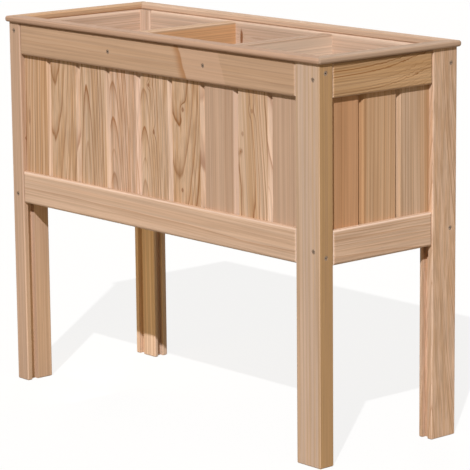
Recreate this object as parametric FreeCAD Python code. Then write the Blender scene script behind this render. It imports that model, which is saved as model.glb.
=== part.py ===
import FreeCAD
import Part
import math
import os

# Raised garden bed on legs, in larch. Millimetres, +Z up, +X along the front, front face towards -Y.
# The origin is on the ground, under the middle of the bed.

# Overall sizes, over the outer faces of the legs
bed_length = 1020.0
bed_depth = 390.0
leg_height = 826.0

# Legs: one section, turned a quarter from each corner to the next
leg_wide = 70.0
leg_narrow = 38.0
leg_lip = 12.0
leg_rounding = 3.0
foot_chamfer = 2.0

# Groove run in every leg and rail for the wall boards
groove_depth = 12.0

# Rails
rail_height = 72.0
rail_thickness = 34.0
rail_setback = 1.0
rail_rounding = 6.0
bottom_rail_level = 416.0
tenon_side_gap = 0.25
tenon_end_gap = 1.0

# Wall boards, tongued and grooved, with a vee at each joint
board_thickness = 16.0
board_cover = 105.0
board_side_gap = 0.5
board_joint_gap = 0.3
board_end_gap = 2.0
board_top_gap = 2.0
vee_depth = 7.5
tongue_setback = 8.5
tongue_thickness = 4.0
tongue_length = 6.0
tongue_gap = 0.3

# Mitred rim
rim_width = 35.0
rim_thickness = 13.0
rim_overhang = 7.5
rim_top_rounding = 5.5
rim_under_rounding = 5.5
rim_inner_rounding = 3.5
rim_corner_radius = 7.0
mitre_gap = 0.4

# Cross braces between the long top rails
brace_thickness = 30.0
brace_height = 70.0
brace_spacing = 314.0
brace_rounding = 2.5

# Floor
bearer_width = 28.0
bearer_height = 28.0
bearer_lift = 6.0
bearer_end_gap = 1.0
slat_width = 97.0
slat_thickness = 18.0
slat_least_gap = 6.0
slat_end_gap = 2.0
slat_rounding = 2.0

# Countersunk screws
screw_head_diameter = 10.0
screw_shank_diameter = 5.0
screw_point_length = 6.0
screw_sink = 0.6
screw_hole_gap = 0.2
pilot_gap = 0.1
drive_slot_length = 5.0
drive_slot_width = 1.3
drive_slot_depth = 1.8
leg_screw_bite = 34.0
wide_way_screw_inset = 19.0
narrow_way_screw_inset = 32.0
brace_screw_bite = 45.0
bearer_screw_bite = 22.0
bearer_screw_inset = 60.0
bearer_screw_spacing = 260.0

# Dowels that hold the rim on the rails
dowel_diameter = 8.0
dowel_in_rail = 20.0
dowel_in_rim = 7.0
dowel_end_gap = 1.0
dowel_side_gap = 0.1
dowel_inset = 70.0
dowel_spacing = 250.0

# Sizes that follow from those above
groove_width = board_thickness + 2 * board_side_gap
tenon_length = groove_depth - tenon_end_gap
rail_middle = rail_setback + rail_thickness / 2
rail_inner = rail_setback + rail_thickness
top_rail_level = leg_height - rail_height
bottom_rail_top = bottom_rail_level + rail_height
bearer_level = bottom_rail_level + bearer_lift
slat_level = bearer_level + bearer_height
inner_limit = max(rail_inner, leg_narrow)
brace_level = top_rail_level + (rail_height - brace_height) / 2
screw_head_height = (screw_head_diameter - screw_shank_diameter) / 2

# The most of a thickness that a rounding takes, how far a cut runs past a face,
# and a fit for comparing places
rounding_share = 0.45
overshoot = 1.0
tolerance = 0.01

along_x = FreeCAD.Vector(1, 0, 0)
along_y = FreeCAD.Vector(0, 1, 0)
along_z = FreeCAD.Vector(0, 0, 1)
origin = FreeCAD.Vector(0, 0, 0)

# A wall starts at the corner it is named with here and runs anticlockwise, seen from above.
# Each corner has a turn in degrees and its place.
corners = {
    "front_left": (0, -bed_length / 2, -bed_depth / 2),
    "front_right": (90, bed_length / 2, -bed_depth / 2),
    "rear_right": (180, bed_length / 2, bed_depth / 2),
    "rear_left": (270, -bed_length / 2, bed_depth / 2),
}
walls = {
    "front": ("front_left", bed_length),
    "right": ("front_right", bed_depth),
    "rear": ("rear_right", bed_length),
    "left": ("rear_left", bed_depth),
}


def box(x_range, y_range, z_range):
    """A block between two limits along each axis."""
    corner = FreeCAD.Vector(x_range[0], y_range[0], z_range[0])
    return Part.makeBox(
        x_range[1] - x_range[0],
        y_range[1] - y_range[0],
        z_range[1] - z_range[0],
        corner,
    )


def straight_edges(shape, axis, test=None):
    """The straight edges that run along an axis and whose middle passes the test."""
    chosen = []
    for edge in shape.Edges:
        if not isinstance(edge.Curve, Part.Line):
            continue
        if abs(edge.tangentAt(edge.FirstParameter).dot(axis)) < 1 - tolerance:
            continue
        if test is None or test(edge.CenterOfMass):
            chosen.append(edge)
    return chosen


def at_corner(shape, corner_name):
    """A copy of a shape made at the front left corner, turned and moved to the named corner."""
    turn, corner_x, corner_y = corners[corner_name]
    placed = shape.copy()
    placed.rotate(origin, along_z, turn)
    placed.translate(FreeCAD.Vector(corner_x, corner_y, 0))
    return placed


def spread(start, end, target_spacing):
    """Evenly spaced places from start to end, with about the spacing asked for."""
    steps = max(1, round((end - start) / target_spacing))
    return [start + (end - start) * step / steps for step in range(steps + 1)]


def turned_solid(points):
    """A solid of revolution about +Z from (radius, height) points of its half section."""
    outline = [FreeCAD.Vector(radius, 0, height) for radius, height in points]
    face = Part.Face(Part.makePolygon(outline + outline[:1]))
    return face.revolve(origin, along_z, 360)


def aimed(shape, place, direction):
    """A copy of a shape made along +Z, aimed along a direction from a place."""
    turned = shape.copy()
    turned.Placement = FreeCAD.Placement(place, FreeCAD.Rotation(along_z, direction))
    return turned


def make_screw(length):
    """A countersunk screw along +Z, its head flush with z = screw_sink."""
    head = screw_head_diameter / 2
    shank = screw_shank_diameter / 2
    neck = screw_sink + screw_head_height
    screw = turned_solid([
        (0, screw_sink),
        (head, screw_sink),
        (shank, neck),
        (shank, length - screw_point_length),
        (0, length),
    ])
    for half_x, half_y in ((drive_slot_length / 2, drive_slot_width / 2),
                           (drive_slot_width / 2, drive_slot_length / 2)):
        slot = box((-half_x, half_x), (-half_y, half_y), (0, screw_sink + drive_slot_depth))
        screw = screw.cut(slot)
    return screw


def make_head_hole(depth):
    """The hole for a screw along +Z: a countersink for the head, then a clear way for the shank."""
    head = screw_head_diameter / 2
    clear = screw_shank_diameter / 2 + screw_hole_gap
    neck = screw_sink + head - clear
    return turned_solid([
        (0, -overshoot),
        (head, -overshoot),
        (head, screw_sink),
        (clear, neck),
        (clear, depth + overshoot),
        (0, depth + overshoot),
    ])


def make_pilot_hole(depth):
    """The hole that a screw's shank bites into, along +Z."""
    radius = screw_shank_diameter / 2 + pilot_gap
    return Part.makeCylinder(radius, depth + 2 * overshoot, FreeCAD.Vector(0, 0, -overshoot))


def leg_screw_levels(inset):
    """The heights of a bottom and a top rail's screws, by their inset from the rail's far edge."""
    return (bottom_rail_level + inset, leg_height - inset)


def make_leg():
    """A leg at the front left corner: rounded, with two grooves open at the foot, and bored for screws."""
    leg = box((0, leg_narrow), (0, leg_wide), (0, leg_height))
    leg = leg.makeFillet(min(leg_rounding, leg_lip / 2), straight_edges(leg, along_z))
    foot_edges = [edge for edge in leg.Edges if edge.BoundBox.ZMax < leg_height / 2]
    leg = leg.makeChamfer(foot_chamfer, foot_edges)
    groove_start = leg_lip
    groove_end = leg_lip + groove_width
    full_height = (-overshoot, leg_height + overshoot)
    wide_face_groove = box(
        (leg_narrow - groove_depth, leg_narrow + overshoot), (groove_start, groove_end), full_height)
    narrow_face_groove = box(
        (groove_start, groove_end), (leg_wide - groove_depth, leg_wide + overshoot), full_height)
    leg = leg.cut(wide_face_groove).cut(narrow_face_groove)
    for level in leg_screw_levels(wide_way_screw_inset):
        hole = make_head_hole(leg_wide)
        leg = leg.cut(aimed(hole, FreeCAD.Vector(rail_middle, 0, level), along_y))
    for level in leg_screw_levels(narrow_way_screw_inset):
        hole = make_head_hole(leg_narrow)
        leg = leg.cut(aimed(hole, FreeCAD.Vector(0, rail_middle, level), along_x))
    return leg


def make_leg_screws():
    """The four screws of the leg at the front left corner."""
    screws = []
    for level in leg_screw_levels(wide_way_screw_inset):
        screw = make_screw(leg_wide + leg_screw_bite)
        screws.append(aimed(screw, FreeCAD.Vector(rail_middle, 0, level), along_y))
    for level in leg_screw_levels(narrow_way_screw_inset):
        screw = make_screw(leg_narrow + leg_screw_bite)
        screws.append(aimed(screw, FreeCAD.Vector(0, rail_middle, level), along_x))
    return screws


def make_rail(span, level, groove_on_top):
    """A rail of the wall that starts at the front left corner, with stub tenons in the leg grooves.

    The wall boards stand in a groove in its top or its bottom edge, and its two leg screws
    are set nearer to the other edge.
    """
    start = leg_narrow
    end = span - leg_wide
    top = level + rail_height
    rail = box((start, end), (rail_setback, rail_inner), (level, top))
    rounding = min(rail_rounding, (leg_lip - rail_setback) * 2 * rounding_share)
    arrises = straight_edges(rail, along_x)
    arrises += straight_edges(rail, along_z, lambda middle: middle.y < rail_middle)
    rail = rail.makeFillet(rounding, arrises)
    tenon = box(
        (start - tenon_length, end + tenon_length),
        (leg_lip + tenon_side_gap, leg_lip + groove_width - tenon_side_gap),
        (level, top),
    )
    rail = rail.fuse(tenon).removeSplitter()
    if groove_on_top:
        groove_range = (top - groove_depth, top + overshoot)
        screw_levels = (level + narrow_way_screw_inset, level + wide_way_screw_inset)
    else:
        groove_range = (level - overshoot, level + groove_depth)
        screw_levels = (top - narrow_way_screw_inset, top - wide_way_screw_inset)
    groove = box(
        (-overshoot, span + overshoot), (leg_lip, leg_lip + groove_width), groove_range)
    rail = rail.cut(groove)
    pilot = make_pilot_hole(leg_screw_bite + tenon_length)
    start_place = FreeCAD.Vector(start - tenon_length, rail_middle, screw_levels[0])
    end_place = FreeCAD.Vector(end + tenon_length, rail_middle, screw_levels[1])
    rail = rail.cut(aimed(pilot, start_place, along_x))
    return rail.cut(aimed(pilot, end_place, -along_x))


def dowel_places(span):
    """Places of the rim's dowels along a wall."""
    return spread(leg_narrow + dowel_inset, span - leg_wide - dowel_inset, dowel_spacing)


def make_dowel_holes(span):
    """Blind holes in a top rail's top edge and up into the rim, one for each dowel."""
    radius = dowel_diameter / 2 + dowel_side_gap
    height = dowel_in_rail + dowel_in_rim + dowel_end_gap
    level = leg_height - dowel_in_rail
    return [
        Part.makeCylinder(radius, height, FreeCAD.Vector(place, rail_middle, level))
        for place in dowel_places(span)
    ]


def make_dowels(span):
    """Dowels that stand in a top rail and reach up into the rim."""
    level = leg_height - dowel_in_rail
    return [
        Part.makeCylinder(
            dowel_diameter / 2, dowel_in_rail + dowel_in_rim, FreeCAD.Vector(place, rail_middle, level))
        for place in dowel_places(span)
    ]


def brace_screw_places(span):
    """Places along a long wall where the two braces are screwed on."""
    return (span / 2 - brace_spacing / 2, span / 2 + brace_spacing / 2)


def make_top_rail(name, span):
    """A top rail with its dowel holes and, on a long wall, the holes for the brace screws."""
    rail = make_rail(span, top_rail_level, groove_on_top=False)
    for hole in make_dowel_holes(span):
        rail = rail.cut(hole)
    if name in ("front", "rear"):
        hole = make_head_hole(rail_thickness)
        for place in brace_screw_places(span):
            head = FreeCAD.Vector(place, rail_setback, top_rail_level + rail_height / 2)
            rail = rail.cut(aimed(hole, head, along_y))
    return rail


def bearer_screw_places(span):
    """Places of a bearer's screws along a long wall."""
    return spread(
        leg_narrow + bearer_screw_inset, span - leg_wide - bearer_screw_inset, bearer_screw_spacing)


def bearer_screw_head(place):
    """The point on a bearer's inner face where a screw enters."""
    return FreeCAD.Vector(place, rail_inner + bearer_width, bearer_level + bearer_height / 2)


def make_bottom_rail(name, span):
    """A bottom rail with, on a long wall, the pilot holes of the bearer screws."""
    rail = make_rail(span, bottom_rail_level, groove_on_top=True)
    if name in ("front", "rear"):
        pilot = make_pilot_hole(bearer_width + bearer_screw_bite)
        for place in bearer_screw_places(span):
            rail = rail.cut(aimed(pilot, bearer_screw_head(place), -along_y))
    return rail


def board_profile(start, end, tongued, grooved):
    """The section of a wall board seen from above, with its face towards -Y.

    The board's end edge has a tongue and a vee if it is tongued, and its start edge
    a groove and a vee if it is grooved. A plain edge is left square, to stand in a leg.
    """
    face = leg_lip + board_side_gap
    back = face + board_thickness
    tongue_face = face + tongue_setback
    tongue_back = tongue_face + tongue_thickness
    points = []
    if tongued:
        points += [
            (end - vee_depth, face),
            (end, face + vee_depth),
            (end, tongue_face),
            (end + tongue_length, tongue_face),
            (end + tongue_length, tongue_back),
            (end, tongue_back),
            (end, back),
        ]
    else:
        points += [(end, face), (end, back)]
    if grooved:
        bottom = start + tongue_length + tongue_gap
        points += [
            (start, back),
            (start, tongue_back + tongue_gap),
            (bottom, tongue_back + tongue_gap),
            (bottom, tongue_face - tongue_gap),
            (start, tongue_face - tongue_gap),
            (start, face + vee_depth),
            (start + vee_depth, face),
        ]
    else:
        points += [(start, back), (start, face)]
    return points


def make_wall_boards(span):
    """The boards of the wall that starts at the front left corner, the two end ones cut to fit."""
    clear = span - leg_narrow - leg_wide
    count = max(2, math.ceil(clear / board_cover))
    end_cover = (clear - (count - 2) * board_cover) / 2
    joints = [leg_narrow + end_cover + step * board_cover for step in range(count - 1)]
    entry = groove_depth - board_end_gap
    starts = [leg_narrow - entry] + [joint + board_joint_gap / 2 for joint in joints]
    ends = [joint - board_joint_gap / 2 for joint in joints] + [span - leg_wide + entry]
    foot = bottom_rail_top - groove_depth
    length = top_rail_level + groove_depth - board_top_gap - foot
    boards = []
    for number in range(count):
        points = board_profile(
            starts[number], ends[number], tongued=number < count - 1, grooved=number > 0)
        outline = [FreeCAD.Vector(x, y, foot) for x, y in points]
        face = Part.Face(Part.makePolygon(outline + outline[:1]))
        boards.append(face.extrude(along_z * length))
    return boards


def make_rim_ring():
    """The whole rim, rounded all round, before it is parted at the mitres."""
    half_x = bed_length / 2 + rim_overhang
    half_y = bed_depth / 2 + rim_overhang
    inner_x = half_x - rim_width
    inner_y = half_y - rim_width
    level = (leg_height, leg_height + rim_thickness)
    most_rounding = rim_thickness * rounding_share
    ring = box((-half_x, half_x), (-half_y, half_y), level)
    ring = ring.makeFillet(rim_corner_radius, straight_edges(ring, along_z))
    top_edges = [edge for edge in ring.Edges if edge.BoundBox.ZMin > level[1] - tolerance]
    ring = ring.makeFillet(min(rim_top_rounding, most_rounding), top_edges)
    under_edges = [edge for edge in ring.Edges if edge.BoundBox.ZMax < level[0] + tolerance]
    ring = ring.makeFillet(min(rim_under_rounding, most_rounding), under_edges)
    opening = box(
        (-inner_x, inner_x), (-inner_y, inner_y), (level[0] - overshoot, level[1] + overshoot))
    ring = ring.cut(opening)
    inner_edges = straight_edges(ring, along_x, lambda middle: abs(middle.y) < inner_y + tolerance)
    inner_edges += straight_edges(ring, along_y, lambda middle: abs(middle.x) < inner_x + tolerance)
    return ring.makeFillet(min(rim_inner_rounding, most_rounding), inner_edges)


def make_rim_board(ring, wall_name):
    """One board of the rim, parted from the ring at its two mitres and bored for its dowels."""
    corner_name, span = walls[wall_name]
    shift = mitre_gap / math.sqrt(2)
    outer = -rim_overhang - overshoot
    inner = rim_width - rim_overhang + overshoot
    outline = [
        FreeCAD.Vector(x, y, leg_height - overshoot) for x, y in (
            (outer + shift, outer),
            (span - outer - shift, outer),
            (span - inner - shift, inner),
            (inner + shift, inner),
        )
    ]
    wedge = Part.Face(Part.makePolygon(outline + outline[:1]))
    wedge = wedge.extrude(along_z * (rim_thickness + 2 * overshoot))
    board = ring.common(at_corner(wedge, corner_name))
    for hole in make_dowel_holes(span):
        board = board.cut(at_corner(hole, corner_name))
    return board


def make_brace(middle_x):
    """A cross brace between the long top rails, with a pilot hole in each end."""
    half_x = brace_thickness / 2
    half_y = bed_depth / 2 - rail_inner
    brace = box(
        (middle_x - half_x, middle_x + half_x),
        (-half_y, half_y),
        (brace_level, brace_level + brace_height),
    )
    rounding = min(brace_rounding, brace_thickness * rounding_share)
    brace = brace.makeFillet(rounding, straight_edges(brace, along_y))
    pilot = make_pilot_hole(brace_screw_bite)
    level = top_rail_level + rail_height / 2
    brace = brace.cut(aimed(pilot, FreeCAD.Vector(middle_x, -half_y, level), along_y))
    return brace.cut(aimed(pilot, FreeCAD.Vector(middle_x, half_y, level), -along_y))


def make_brace_screws(span):
    """The brace screws of the long wall that starts at the front left corner."""
    screw = make_screw(rail_thickness + brace_screw_bite)
    level = top_rail_level + rail_height / 2
    return [
        aimed(screw, FreeCAD.Vector(place, rail_setback, level), along_y)
        for place in brace_screw_places(span)
    ]


def make_bearer(span):
    """A floor bearer on the inside of the long wall that starts at the front left corner."""
    bearer = box(
        (leg_narrow + bearer_end_gap, span - leg_wide - bearer_end_gap),
        (rail_inner, rail_inner + bearer_width),
        (bearer_level, bearer_level + bearer_height),
    )
    hole = make_head_hole(bearer_width)
    for place in bearer_screw_places(span):
        bearer = bearer.cut(aimed(hole, bearer_screw_head(place), -along_y))
    return bearer


def make_bearer_screws(span):
    """The screws that hold the bearer of the long wall at the front left corner."""
    screw = make_screw(bearer_width + bearer_screw_bite)
    return [aimed(screw, bearer_screw_head(place), -along_y) for place in bearer_screw_places(span)]


def make_floor_slats():
    """Slats that lie across the two bearers, with gaps between them for water to drain."""
    half_x = bed_length / 2 - inner_limit - slat_end_gap
    half_y = bed_depth / 2 - inner_limit - slat_end_gap
    count = math.floor((2 * half_x + slat_least_gap) / (slat_width + slat_least_gap))
    step = (2 * half_x - slat_width) / (count - 1)
    slats = []
    for number in range(count):
        start = number * step - half_x
        slat = box(
            (start, start + slat_width), (-half_y, half_y), (slat_level, slat_level + slat_thickness))
        rounding = min(slat_rounding, slat_thickness * rounding_share)
        slats.append(slat.makeFillet(rounding, straight_edges(slat, along_y)))
    return slats


def build_nodes():
    """Every piece of the bed by name. A group of like fasteners is one compound of separate solids."""
    nodes = {}
    leg_screws = []
    brace_screws = []
    bearer_screws = []
    dowels = []
    leg = make_leg()
    ring = make_rim_ring()
    for corner_name in corners:
        nodes["leg_" + corner_name] = at_corner(leg, corner_name)
        leg_screws += [at_corner(screw, corner_name) for screw in make_leg_screws()]
    for wall_name, (corner_name, span) in walls.items():
        nodes[wall_name + "_top_rail"] = at_corner(make_top_rail(wall_name, span), corner_name)
        nodes[wall_name + "_bottom_rail"] = at_corner(make_bottom_rail(wall_name, span), corner_name)
        for number, board in enumerate(make_wall_boards(span), start=1):
            nodes[f"{wall_name}_board_{number}"] = at_corner(board, corner_name)
        nodes[wall_name + "_rim_board"] = make_rim_board(ring, wall_name)
        dowels += [at_corner(dowel, corner_name) for dowel in make_dowels(span)]
        if wall_name in ("front", "rear"):
            nodes[wall_name + "_floor_bearer"] = at_corner(make_bearer(span), corner_name)
            brace_screws += [at_corner(screw, corner_name) for screw in make_brace_screws(span)]
            bearer_screws += [at_corner(screw, corner_name) for screw in make_bearer_screws(span)]
    nodes["left_cross_brace"] = make_brace(-brace_spacing / 2)
    nodes["right_cross_brace"] = make_brace(brace_spacing / 2)
    for number, slat in enumerate(make_floor_slats(), start=1):
        nodes[f"floor_slat_{number}"] = slat
    nodes["leg_screws"] = Part.makeCompound(leg_screws)
    nodes["brace_screws"] = Part.makeCompound(brace_screws)
    nodes["bearer_screws"] = Part.makeCompound(bearer_screws)
    nodes["rim_dowels"] = Part.makeCompound(dowels)
    return nodes


def main():
    """Write one file for each node."""
    os.makedirs("parts", exist_ok=True)
    for name, shape in build_nodes().items():
        shape.exportStep(f"parts/{name}.step")


main()
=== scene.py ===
"""Looks of a raised garden bed in planed larch: its finishes, its screws, the studio and the camera."""

import logging
import math
import random
from collections.abc import Sequence
from dataclasses import dataclass, replace
from enum import Enum

import bpy
from bpy.types import Material, Node, NodeSocket, NodeTree, Object
from mathutils import Euler, Matrix, Vector


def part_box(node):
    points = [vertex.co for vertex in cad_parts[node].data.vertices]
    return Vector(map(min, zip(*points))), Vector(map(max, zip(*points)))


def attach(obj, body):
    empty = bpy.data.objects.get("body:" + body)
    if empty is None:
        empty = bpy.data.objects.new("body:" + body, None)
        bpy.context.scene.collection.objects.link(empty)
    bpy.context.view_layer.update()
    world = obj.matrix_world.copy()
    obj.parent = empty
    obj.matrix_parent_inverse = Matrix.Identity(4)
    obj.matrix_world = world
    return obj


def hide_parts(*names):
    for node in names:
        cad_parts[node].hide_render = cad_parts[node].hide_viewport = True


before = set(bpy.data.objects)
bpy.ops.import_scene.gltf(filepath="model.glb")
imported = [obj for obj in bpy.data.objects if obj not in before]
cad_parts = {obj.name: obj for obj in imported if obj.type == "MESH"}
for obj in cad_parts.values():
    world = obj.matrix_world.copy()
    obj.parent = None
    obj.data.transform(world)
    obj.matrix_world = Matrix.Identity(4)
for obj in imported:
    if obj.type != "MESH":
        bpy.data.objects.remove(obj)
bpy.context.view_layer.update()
BODY = "root"
LOG = logging.getLogger("garden_bed")

Colour = tuple[float, float, float, float]
ScreenColour = tuple[int, int, int]
Source = NodeSocket | float | Sequence[float]
WHITE: Colour = (1.0, 1.0, 1.0, 1.0)

# The numbers of a Mix node's sockets for colours
MIX_FIRST = 6
MIX_SECOND = 7
MIX_RESULT = 2

# How much of its normal points up on a face that counts as a top
TOP_RISE = 0.9


def linear(*channels: int) -> Colour:
    """Turns a screen's red, green and blue, each from 11 to 255, into the linear colour of a shader."""
    return (*(((channel / 255 + 0.055) / 1.055) ** 2.4 for channel in channels), 1.0)


class Axis(Enum):
    """The ways that a piece's grain or face can point."""

    RIGHT = (1, 0, 0)
    LEFT = (-1, 0, 0)
    REAR = (0, 1, 0)
    FRONT = (0, -1, 0)
    UP = (0, 0, 1)

    @property
    def way(self) -> Vector:
        """The axis as a vector."""
        return Vector(self.value)


class Wall(Enum):
    """The four walls, each with the way that its rails run and the way that it faces."""

    FRONT = (Axis.RIGHT, Axis.FRONT)
    RIGHT = (Axis.REAR, Axis.RIGHT)
    REAR = (Axis.RIGHT, Axis.REAR)
    LEFT = (Axis.REAR, Axis.LEFT)

    def __init__(self, run: Axis, face: Axis) -> None:
        """Keeps the two ways."""
        self.run = run
        self.face = face

    @property
    def word(self) -> str:
        """The wall's name in the names of its pieces."""
        return self.name.lower()


class Tone(Enum):
    """Colours of larch: the pale early wood, the dark late wood and the heart of the log."""

    PALE = ((211, 180, 156), (178, 137, 106), (200, 164, 136))
    PINK = ((203, 173, 152), (161, 116, 82), (193, 156, 128))
    ROSE = ((197, 166, 143), (161, 119, 90), (183, 148, 122))
    FAWN = ((206, 176, 151), (149, 104, 67), (186, 150, 116))
    TAN = ((203, 171, 143), (146, 100, 60), (183, 143, 106))
    STRAW = ((193, 160, 133), (163, 124, 90), (183, 148, 118))
    SAPWOOD = ((205, 179, 160), (174, 139, 109), (185, 148, 107))
    AMBER = ((207, 171, 139), (151, 105, 66), (190, 148, 110))
    HONEY = ((194, 158, 121), (141, 96, 55), (177, 138, 97))
    ORANGE = ((198, 152, 116), (155, 103, 62), (185, 137, 95))
    CREAM = ((211, 184, 164), (182, 144, 117), (200, 169, 145))
    BLOND = ((212, 180, 155), (160, 115, 80), (190, 152, 118))
    RUSSET = ((190, 157, 135), (154, 115, 86), (176, 142, 118))
    # Heart paler than early wood: on the right brace its darker top is painted shade
    IVORY = ((178, 147, 124), (192, 156, 132), (225, 201, 180))
    LINEN = ((186, 159, 138), (154, 118, 94), (174, 144, 121))
    # Orange heart: on the left brace its darker orange side is painted shade
    COPPER = ((198, 171, 147), (177, 125, 86), (209, 163, 121))

    def __init__(self, early: ScreenColour, late: ScreenColour, heart: ScreenColour) -> None:
        """Keeps the three colours as linear ones."""
        self.early, self.late, self.heart = (linear(*colour) for colour in (early, late, heart))


@dataclass(frozen=True)
class Sawing:
    """How a piece lies in the log that it was sawn from. Lengths are in metres.

    Attributes:
        across: How far the pith lies to one side of the middle of the piece's face.
        behind: How far the pith lies behind the face, at the middle of the piece's length.
        lean: How fast the pith runs away from the face along the grain.
        drift: How fast the pith runs sideways along the grain.
        ring: The mean width of a year ring.
        waver: How far the rings wander from a true circle.
        contrast: How strongly the late wood shows.
        core: How far from the pith the wood has the colour of the heart.
    """

    across: float
    behind: float
    lean: float = 0.0
    drift: float = 0.0
    ring: float = 0.004
    waver: float = 0.010
    contrast: float = 0.8
    core: float = 0.0


@dataclass(frozen=True)
class Knot:
    """A knot that runs through a piece, by its place on the face. Lengths are in metres.

    Attributes:
        along: How far up the grain it is, from the piece's low end.
        across: How far to the side of the middle of the face it is.
        radius: Half its width across the grain.
        reach: Half its length along the grain.
        depth: How strongly its own colour shows.
    """

    along: float
    across: float
    radius: float = 0.004
    reach: float = 0.005
    depth: float = 0.9


@dataclass(frozen=True)
class Flame:
    """A brown flame across a face, with a paler patch beyond it. Lengths are in metres.

    Attributes:
        along: How far up the grain it crosses the middle of the face, from the piece's low end.
        slope: How far it runs along the grain for each metre across the face.
        width: How wide the brown is.
        reach: How far the paler patch goes.
        edge: How wide the soft edges of the patch are.
        wobble: How far its lines wander to either side.
    """

    along: float
    slope: float
    width: float
    reach: float
    edge: float = 0.004
    wobble: float = 0.005
    brown: Colour = linear(166, 113, 66)
    pale: Colour = linear(208, 172, 148)
    brown_share: float = 0.7
    pale_share: float = 0.4


class Graph:
    """A node tree, with short calls for the nodes that the finishes need."""

    def __init__(self, tree: NodeTree) -> None:
        """Takes the tree that nodes are added to."""
        self.tree = tree

    def node(self, kind: str, values: dict[str | int, Source] | None = None, **settings: object) -> Node:
        """Adds a node.

        Args:
            kind: The node's type name.
            values: What its inputs are linked to or set to, by name or number.
            settings: Properties to set on the node.

        Returns:
            The new node.
        """
        made = self.tree.nodes.new(kind)
        for name, setting in settings.items():
            setattr(made, name, setting)
        for name, value in (values or {}).items():
            self.feed(made.inputs[name], value)
        return made

    def feed(self, socket: NodeSocket, source: Source) -> None:
        """Links a socket to an output, or sets its value.

        Args:
            socket: The input socket.
            source: An output socket, a number, a vector or a colour.
        """
        if isinstance(source, NodeSocket):
            self.tree.links.new(source, socket)
        else:
            socket.default_value = source

    def math(self, operation: str, *values: Source, clamp: bool = False) -> NodeSocket:
        """Adds a Math node with its values in order, and gives its result."""
        made = self.node("ShaderNodeMath", dict(enumerate(values)), operation=operation, use_clamp=clamp)
        return made.outputs[0]

    def times(self, first: Source, second: Source) -> NodeSocket:
        """Multiplies two numbers."""
        return self.math("MULTIPLY", first, second)

    def vector(self, operation: str, *values: Source) -> NodeSocket:
        """Adds a Vector Math node with its vectors in order, and gives its result."""
        made = self.node("ShaderNodeVectorMath", dict(enumerate(values)), operation=operation)
        return made.outputs["Value" if operation in ("LENGTH", "DOT_PRODUCT") else "Vector"]

    def scaled(self, vector: Source, factor: Source) -> NodeSocket:
        """Multiplies a vector by a number."""
        made = self.node("ShaderNodeVectorMath", {"Vector": vector, "Scale": factor}, operation="SCALE")
        return made.outputs["Vector"]

    def between(self, value: Source, low: float, high: float) -> NodeSocket:
        """Spreads a value from 0 to 1 over the span from low to high."""
        return self.math("MULTIPLY_ADD", value, high - low, low)

    def rest(self, value: Source) -> NodeSocket:
        """Gives what is left of 1."""
        return self.math("SUBTRACT", 1.0, value)

    def noise(self, place: Source, lumps: Sequence[float], detail: float = 2.0) -> Node:
        """Adds noise with so many lumps in a metre along each axis, and so many finer layers."""
        stretched = self.vector("MULTIPLY", place, lumps)
        return self.node("ShaderNodeTexNoise", {"Vector": stretched, "Scale": 1.0, "Detail": detail})

    def grey(self, place: Source, lumps: Sequence[float], detail: float = 2.0) -> NodeSocket:
        """Gives noise as a value from 0 to 1."""
        return self.noise(place, lumps, detail).outputs["Fac"]

    def sway(self, place: Source, lumps: Sequence[float]) -> NodeSocket:
        """Gives noise as a vector that points any way."""
        return self.vector("SUBTRACT", self.noise(place, lumps).outputs["Color"], (0.5, 0.5, 0.5))

    def ease(self, value: Source, low: float, high: float) -> NodeSocket:
        """Maps a value to a smooth step from 0 at low to 1 at high."""
        step = {"Value": value, "From Min": low, "From Max": high}
        return self.node("ShaderNodeMapRange", step, interpolation_type="SMOOTHSTEP").outputs["Result"]

    def ramp(self, value: Source, stops: Sequence[tuple[float, Colour]]) -> NodeSocket:
        """Adds a colour ramp.

        Args:
            value: Where to read the ramp.
            stops: Places from 0 to 1 and their colours.

        Returns:
            The colour's socket.
        """
        made = self.node("ShaderNodeValToRGB", {"Fac": value})
        elements = made.color_ramp.elements
        while len(elements) < len(stops):
            elements.new(1.0)
        for element, (place, colour) in zip(elements, stops):
            element.position = place
            element.color = colour
        return made.outputs["Color"]

    def curve(self, value: Source, stops: Sequence[tuple[float, float]]) -> NodeSocket:
        """Adds a ramp of grey levels."""
        return self.ramp(value, [(place, (level, level, level, 1.0)) for place, level in stops])

    def blend(self, factor: Source, first: Source, second: Source, mode: str = "MIX") -> NodeSocket:
        """Mixes two colours, with so much of the second one."""
        colours = {"Factor": factor, MIX_FIRST: first, MIX_SECOND: second}
        return self.node("ShaderNodeMix", colours, data_type="RGBA", blend_type=mode).outputs[MIX_RESULT]

    def group(self, tree: NodeTree, **values: Source) -> Node:
        """Adds a node group, with its inputs by their names in lower case."""
        named = {name.title(): value for name, value in values.items()}
        return self.node("ShaderNodeGroup", named, node_tree=tree)

    def give(self, **values: NodeSocket) -> NodeTree:
        """Links the outputs of a node group, by their names in lower case, and gives its tree."""
        self.node("NodeGroupOutput", {name.title(): value for name, value in values.items()})
        return self.tree


class Surface(Graph):
    """The nodes of a new material."""

    def __init__(self, name: str) -> None:
        """Makes the material and clears its nodes.

        Args:
            name: The material's name.
        """
        self.material = bpy.data.materials.new(name)
        self.material.use_nodes = True
        self.material.node_tree.nodes.clear()
        super().__init__(self.material.node_tree)

    def coordinates(self, kind: str) -> NodeSocket:
        """Gives the place in metres, which is Object, or the way that a face points, which is Normal."""
        return self.node("ShaderNodeTexCoord").outputs[kind]

    def cover(self, shader: Node) -> Material:
        """Makes a shader the material's surface, and gives the material."""
        self.node("ShaderNodeOutputMaterial", {"Surface": shader.outputs[0]})
        return self.material


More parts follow.
